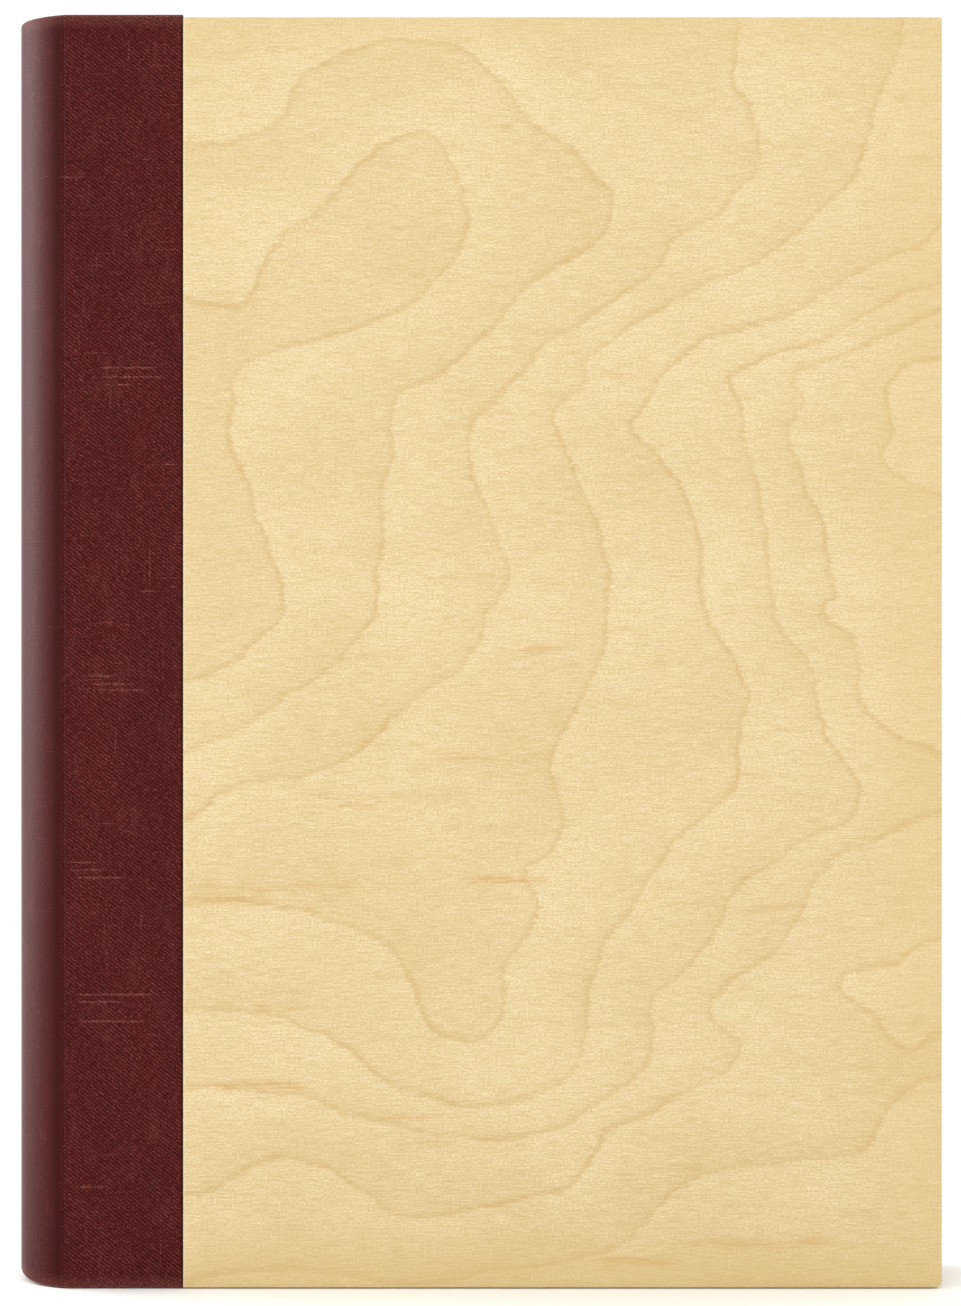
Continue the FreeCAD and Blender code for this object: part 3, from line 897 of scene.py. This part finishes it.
def headband_tree(first, second):
    """A cord bent round the spine end of the block, wound with two silks by turns."""
    t = Tree("headband", ("Turns",), ("Radius", "Axis", "Height", "Sweep", "Cord"))
    g = t.given
    bow = t.geometry("CurveArc", {"Resolution": 48, "Radius": g["Radius"],
                                  "Start Angle": math.pi - g["Sweep"] / 2.0,
                                  "Sweep Angle": g["Sweep"]}, mode="RADIUS")
    bow = t.geometry("SetPosition", {"Geometry": bow,
                                     "Offset": t.vector(g["Axis"], 0.0, g["Height"])})
    ring = t.geometry("CurvePrimitiveCircle", {"Resolution": 10, "Radius": g["Cord"]})
    core = t.geometry("CurveToMesh", {"Curve": bow, "Profile Curve": ring, "Fill Caps": True})
    core = t.geometry("SetMaterial", {"Geometry": core, "Material": second})

    # One hoop of silk for each turn
    strand_sides, hoop_sides = 5, 12
    spots = t.geometry("ResampleCurve", {"Curve": bow, "Count": g["Turns"]})
    facing = t.node("FunctionNodeAlignRotationToVector",
                    {"Vector": t.geometry("InputTangent", {})}, axis="Z")
    strand = t.geometry("CurvePrimitiveCircle", {"Resolution": strand_sides,
                                                 "Radius": g["Radius"] * g["Sweep"] / g["Turns"] * 0.52})
    loop = t.geometry("CurvePrimitiveCircle", {"Resolution": hoop_sides, "Radius": g["Cord"]})
    hoop = t.geometry("CurveToMesh", {"Curve": loop, "Profile Curve": strand})
    wound = t.geometry("InstanceOnPoints", {"Points": spots, "Instance": hoop, "Rotation": facing})
    wound = t.geometry("RealizeInstances", {"Geometry": wound})

    # Three turns of one silk, then three of the other
    turn = t.math("FLOOR", t.geometry("InputIndex", {}) / float(strand_sides * hoop_sides))
    other = t.math("LESS_THAN", t.math("MODULO", turn, 6.0), 2.5)
    wound = t.geometry("SetMaterial", {"Geometry": wound, "Material": first})
    wound = t.geometry("SetMaterial", {"Geometry": wound, "Selection": other, "Material": second})
    joined = t.make("GeometryNodeJoinGeometry", {})
    for part in (core, wound):
        t.join(joined.inputs[0], part)
    smooth = t.geometry("SetShadeSmooth", {"Geometry": Value(t, joined.outputs[0])})
    return t.end(t.geometry("RealizeInstances", {"Geometry": smooth}))


# Operators

class BOOK_OT_boards(bpy.types.Operator):
    """Makes the three plies of each cover, with the ring figure on the face veneers"""

    bl_idname = "book.boards"
    bl_label = "Boards"

    def execute(self, context):
        sizes, look = context.scene.book_sizes, context.scene.book_colours
        veneer, core = birch_veneer(look), birch_core(look)
        field = RingField(RINGS)
        layers = (("face_veneer", sizes.ring_cell, veneer, "birch_veneer"),
                  ("core_ply", 12 * MM, core, "birch_core"),
                  ("inner_veneer", 4 * MM, veneer, "birch_veneer"))
        for name, _ in SIDES:
            for layer, cell, material, slot in layers:
                node = "%s_%s" % (name, layer)
                piece = ply_piece(node + "_skin", node, cell, sizes.edge_round, material)
                if material is veneer:
                    carve_rings(piece, field, turned=(name == "back") != (layer == "inner_veneer"))
                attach(piece, name + "_cover")
                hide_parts(node)
        return {"FINISHED"}


class BOOK_OT_cloth(bpy.types.Operator):
    """Makes the cloth over the round of the spine and over the spine side of each board"""

    bl_idname = "book.cloth"
    bl_label = "Cloth"

    def execute(self, context):
        sizes = context.scene.book_sizes
        material = book_cloth(context.scene.book_colours, sizes)
        shape = ClothRound(sizes.joint_round)
        start = shape.reach(JOINT_X - 0.1 * MM)
        arc_steps = 40
        across = [start * k / arc_steps for k in range(-arc_steps, arc_steps + 1)]
        spine = cloth_piece("spine_cloth_skin", shape, across, lambda s: 1 if s > 0 else -1, sizes,
                            material)
        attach(spine, "spine")
        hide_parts("spine_cloth")
        2 * start
        near = [start + 0.25 * MM * k for k in range(14)]
        far = np.linspace(near[-1] + 0.8 * MM, shape.length - 0.45 * MM, 18).tolist() + [shape.length]
        for name, side in SIDES:
            piece = cloth_piece(name + "_cloth_skin", shape, near + far, lambda s: side, sizes, material)
            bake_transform(piece)
            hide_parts(name + "_cloth")
            shape.length - start
        return {"FINISHED"}


class BOOK_OT_stiffener(bpy.types.Operator):
    """Makes the card inside the cloth of the spine, cut to the worn line of its tail"""

    bl_idname = "book.stiffener"
    bl_label = "Stiffener"

    def execute(self, context):
        sizes = context.scene.book_sizes
        low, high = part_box("spine_stiffener")
        shape = ClothRound(sizes.joint_round)
        half, rows = 16, 12
        columns = []
        for k in range(-half, half + 1):
            s = 0.9 * shape.arc * k / half
            (x, y), out = shape.at(abs(s), 1 if s > 0 else -1)
            bottom = max(low[2], CLOTH_LOW[2] + 0.6 * MM) + tail_lift(y, sizes)
            columns.append([(x - out[0] * STIFFENER_IN, y - out[1] * STIFFENER_IN,
                             bottom + (high[2] - bottom) * row / rows) for row in range(rows + 1)])
        piece = sheet_mesh("spine_stiffener_skin", columns, card())
        piece.data.flip_normals()
        thicken(piece, STIFFENER_T, -1)
        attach(piece, "spine")
        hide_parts("spine_stiffener")
        return {"FINISHED"}


class BOOK_OT_endpapers(bpy.types.Operator):
    """Makes each cover's pastedown, drawn in over its joint, and its flyleaf"""

    bl_idname = "book.endpapers"
    bl_label = "Endpapers"

    def execute(self, context):
        look = context.scene.book_colours
        material = paper("endpaper", look.endpaper, look.paper_edge, 0.10)
        thin = PASTE_HIGH[1] - PASTE_LOW[1]
        fly_y = -(FLY_LOW[1] + FLY_HIGH[1]) / 2
        paste_y = -(PASTE_LOW[1] + PASTE_HIGH[1]) / 2
        for name, side in SIDES:
            root_x = FOLD_X - 0.9 * MM
            root_y = fly_y + 0.08 * MM
            near = [root_x + 0.35 * MM * k for k in range(12)]
            far = np.linspace(near[-1] + 4 * MM, PASTE_HIGH[0], 12).tolist()
            rise = smoothstep(np.array(near + far), root_x, root_x + 1.6 * MM)
            line = [(x, side * (root_y + (paste_y - root_y) * r)) for x, r in zip(near + far, rise)]
            piece = paper_sheet(name + "_pastedown_skin", line, PASTE_LOW[2], PASTE_HIGH[2],
                                0.8 * thin, material)
            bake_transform(piece)
            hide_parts(name + "_pastedown")

            near = [root_x + 0.7 * MM * k for k in range(20)]
            far = np.linspace(near[-1] + 5 * MM, FLY_HIGH[0], 14).tolist()
            line = [(x, side * fly_y) for x in near + far]
            piece = paper_sheet(name + "_flyleaf_skin", line, FLY_LOW[2], FLY_HIGH[2], 0.8 * thin,
                                material)
            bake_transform(piece)
            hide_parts(name + "_flyleaf")
        return {"FINISHED"}


class BOOK_OT_sections(bpy.types.Operator):
    """Makes the ten sections, each a stack of leaves set to the round of the spine"""

    bl_idname = "book.sections"
    bl_label = "Sections"

    def execute(self, context):
        sizes, look = context.scene.book_sizes, context.scene.book_colours
        tree = leaves_tree(paper("leaf_paper", look.paper, look.paper_edge, 0.0))
        pitch = SECTION_T / sizes.leaves
        width = LEAF_HIGH[0] - FOLD_LOW[0]
        for name, side in SIDES:
            for number in range(1, SECTIONS + 1):
                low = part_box("%s_section_%d_fold" % (name, number))[0]
                piece = tree.grow("%s_section_%d_skin" % (name, number), {
                    "Leaves": sizes.leaves, "First": low[1] + pitch / 2, "Pitch": pitch,
                    "Thickness": pitch - sizes.leaf_gap, "Width": width,
                    "Height": LEAF_HIGH[2] - LEAF_LOW[2] - 2 * sizes.leaf_trim, "Round": FOLDS_R,
                    "Axis": AXIS_X, "Middle": MID_Z, "Trim": sizes.leaf_trim,
                    "Seed": number + 10 * side})
                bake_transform(piece)
                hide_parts("%s_section_%d_fold" % (name, number),
                            "%s_section_%d_leaves" % (name, number))
        return {"FINISHED"}


class BOOK_OT_headbands(bpy.types.Operator):
    """Makes the silk headbands at head and tail"""

    bl_idname = "book.headbands"
    bl_label = "Headbands"

    def execute(self, context):
        sizes, look = context.scene.book_sizes, context.scene.book_colours
        tree = headband_tree(silk("silk", look.silk), silk("silk_pale", look.silk_pale))
        for end in ("head", "tail"):
            low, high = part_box("headband_" + end)
            cord = (high[2] - low[2]) / 2
            piece = tree.grow("headband_%s_skin" % end, {
                "Radius": AXIS_X - low[0] - cord, "Axis": AXIS_X, "Height": (low[2] + high[2]) / 2,
                "Sweep": math.radians(80), "Cord": cord * 0.86, "Turns": sizes.headband_turns})
            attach(piece, "spine")
            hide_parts("headband_" + end)
        return {"FINISHED"}


class BOOK_OT_spine_lining(bpy.types.Operator):
    """Dresses the lining and the sewing tapes inside the spine"""

    bl_idname = "book.spine_lining"
    bl_label = "Spine lining"

    def execute(self, context):
        linen = woven("linen_tape", colour("D8CDB0"), colour("9C8E6C"), 0.7)
        dress = {"spine_lining": woven("lining_paper", colour("CDBE9C"), colour("A08F6C"), 0.9)}
        dress.update({"sewing_tape_%d" % number: linen for number in (1, 2, 3)})
        for node, material in dress.items():
            wear_only(frame["nodes"][node].data, material)
        return {"FINISHED"}


class BOOK_OT_stage(bpy.types.Operator):
    """Makes the floor, the soft lights and the camera square to the front cover"""

    bl_idname = "book.stage"
    bl_label = "Stage"

    def execute(self, context):
        scene = context.scene
        scene.view_settings.view_transform = "Standard"
        self.floor(scene)
        self.world(scene)
        for name, place, size, power in (
                ("key", (-0.45, -1.25, 0.95), 0.8, 3.4), ("fill", (0.85, -1.1, 0.45), 0.9, 1.6),
                ("rim", (-1.1, 0.30, 0.35), 0.9, 13.0)):
            self.light(scene, name, place, size, power)
        self.camera(scene)
        return {"FINISHED"}

    def floor(self, scene):
        """A wide pale disc."""
        bm = bmesh.new()
        bmesh.ops.create_circle(bm, cap_ends=True, segments=96, radius=6.0)
        f = Finish("floor")
        cloud = f.noise(f.place(), (0.003, 0.003, 0.003))
        tone = f.coats(scene.book_colours.floor, (f.span(cloud, 0.3, 0.7, 0.0, 0.06), colour("EFEEEC")))
        f.finish(Base_Color=tone, Roughness=0.9, Specular_IOR_Level=0.1)
        from_bmesh("floor", bm, f.material)

    def world(self, scene):
        """White surroundings, as in a light tent."""
        world = bpy.data.worlds.new("studio")
        world.use_nodes = True
        light = world.node_tree.nodes["Background"].inputs
        light["Color"].default_value = (1.0, 1.0, 1.0, 1.0)
        light["Strength"].default_value = 1.08
        scene.world = world

    def light(self, scene, name, place, size, power):
        lamp = bpy.data.lights.new(name, "AREA")
        lamp.shape = "DISK"
        lamp.size = size
        lamp.energy = power
        holder = bpy.data.objects.new(name, lamp)
        holder.location = place
        aim = Vector((0, 0, MID_Z)) - holder.location
        holder.rotation_euler = aim.to_track_quat("-Z", "Y").to_euler()
        scene.collection.objects.link(holder)

    def camera(self, scene):
        """Square to the cover, level with its middle, framed 163 by 222 mm at the cover's face."""
        distance, height = 0.64, 0.222
        aim_x, aim_z = 0.55 * MM, 108.1 * MM
        lens = bpy.data.cameras.new("camera")
        lens.sensor_width = 36.0
        lens.lens = 36.0 * distance / height
        holder = bpy.data.objects.new("camera", lens)
        holder.location = (aim_x, FACE_LOW[1] - distance, aim_z)
        holder.rotation_euler = (math.pi / 2, 0, 0)
        scene.collection.objects.link(holder)
        scene.camera = holder


class BOOK_PT_panel(bpy.types.Panel):
    """Lists the book's sizes, colours and makers"""

    bl_label = "Prayer book"
    bl_idname = "BOOK_PT_panel"
    bl_space_type = "VIEW_3D"
    bl_region_type = "UI"
    bl_category = "Prayer book"

    def draw(self, context):
        for group in (context.scene.book_sizes, context.scene.book_colours):
            box = self.layout.box()
            for name in group.__annotations__:
                box.prop(group, name)
        for maker in MAKERS:
            self.layout.operator(maker.bl_idname)


MAKERS = (BOOK_OT_stage, BOOK_OT_boards, BOOK_OT_cloth, BOOK_OT_stiffener, BOOK_OT_endpapers,
          BOOK_OT_sections, BOOK_OT_headbands, BOOK_OT_spine_lining)
CLASSES = (BookSizes, BookColours, *MAKERS, BOOK_PT_panel)


def register():
    for kind in CLASSES:
        bpy.utils.register_class(kind)
    bpy.types.Scene.book_sizes = bpy.props.PointerProperty(type=BookSizes)
    bpy.types.Scene.book_colours = bpy.props.PointerProperty(type=BookColours)


def unregister():
    del bpy.types.Scene.book_sizes
    del bpy.types.Scene.book_colours
    for kind in reversed(CLASSES):
        bpy.utils.unregister_class(kind)


def main():
    """Makes the whole book."""
    register()
    for maker in MAKERS:
        group, name = maker.bl_idname.split(".")
        getattr(getattr(bpy.ops, group), name)()


if __name__ == "__main__":
    main()
